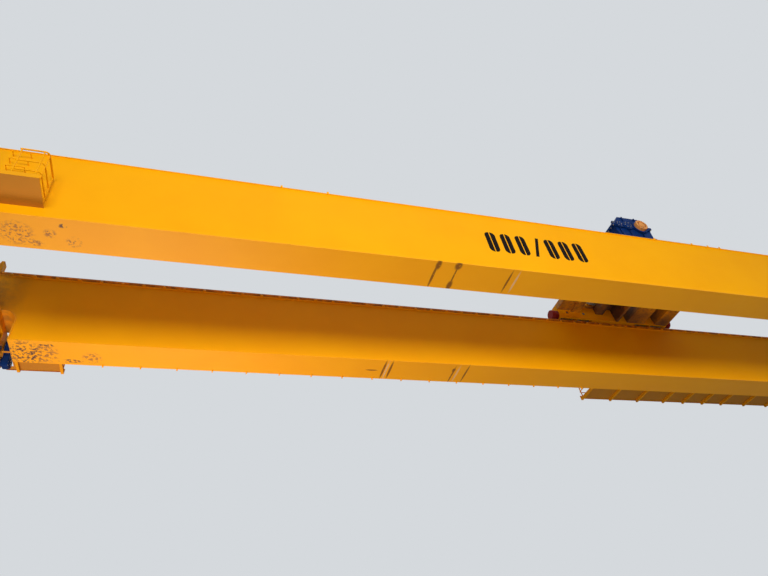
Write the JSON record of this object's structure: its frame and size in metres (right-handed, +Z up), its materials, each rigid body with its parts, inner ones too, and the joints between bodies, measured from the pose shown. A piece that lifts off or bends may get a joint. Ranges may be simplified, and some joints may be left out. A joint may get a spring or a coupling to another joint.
{
  "type": "double-girder overhead travelling crane",
  "caption": "Yellow box-girder overhead crane with necked girder ends, end carriages on bogies, corner platforms and a travelling hoist trolley.",
  "frame": {"origin": "middle of the bridge in plan, level with the lowest edge of the runway wheels' flanges", "axes": "+X along the girders towards the end with the long rear platform, +Y towards the rear girder, +Z up"},
  "size_m": [32.19, 8.2, 4.6748],
  "materials": {
    "yellow_paint": "gloss enamel sprayed on welded plate",
    "machined_steel": "turned, lightly oiled",
    "rail_steel": "rolled, head worn bright, sides rusted",
    "blue_machine_paint": "enamel on castings",
    "orange_paint": "enamel on turned castings",
    "red_buffer_paint": "satin enamel",
    "drum_steel": "turned grooves, grey primer on the flanges"
  },
  "bodies": {
    "bridge": {"bogie_pins": "machined_steel", "climbing_irons": "yellow_paint", "crane_buffers": "red_buffer_paint", "front_girder_bottom_flange": "yellow_paint", "front_girder_inner_web": "yellow_paint", "front_girder_outer_web": "yellow_paint", "front_girder_top_flange": "yellow_paint", "front_handrails": "yellow_paint", "front_platforms": "yellow_paint", "girder_diaphragms": "yellow_paint", "girder_top_lugs": "yellow_paint", "left_bogies": "yellow_paint", "left_crane_wheels": "machined_steel", "left_end_carriage": "yellow_paint", "rear_girder_bottom_flange": "yellow_paint", "rear_girder_cable_tabs": "yellow_paint", "rear_girder_inner_web": "yellow_paint", "rear_girder_outer_web": "yellow_paint", "rear_girder_top_flange": "yellow_paint", "rear_handrails": "yellow_paint", "rear_platforms": "yellow_paint", "right_bogies": "yellow_paint", "right_crane_wheels": "machined_steel", "right_end_carriage": "yellow_paint", "travel_motors": "blue_machine_paint", "travel_reducers": "blue_machine_paint", "trolley_end_stops": "yellow_paint", "trolley_rails": "rail_steel"},
    "trolley": {"aux_drum": "drum_steel", "aux_reducer": "blue_machine_paint", "drum_pedestals": "yellow_paint", "hoist_brakes": "orange_paint", "hoist_motors": "blue_machine_paint", "main_drum": "drum_steel", "main_reducer_base": "blue_machine_paint", "main_reducer_caps": "orange_paint", "main_reducer_cover": "blue_machine_paint", "trolley_buffers": "red_buffer_paint", "trolley_cross_beams": "yellow_paint", "trolley_deck": "yellow_paint", "trolley_drive": "blue_machine_paint", "trolley_side_beams": "yellow_paint", "trolley_wheels": "machined_steel", "upper_sheave_cheeks": "yellow_paint", "upper_sheaves": "machined_steel"}
  },
  "joints": [
    {"name": "trolley_travel", "type": "slide", "parent": "bridge", "child": "trolley", "axis": [1, 0, 0], "range_m": [-19.26, 6.51]}
  ]
}
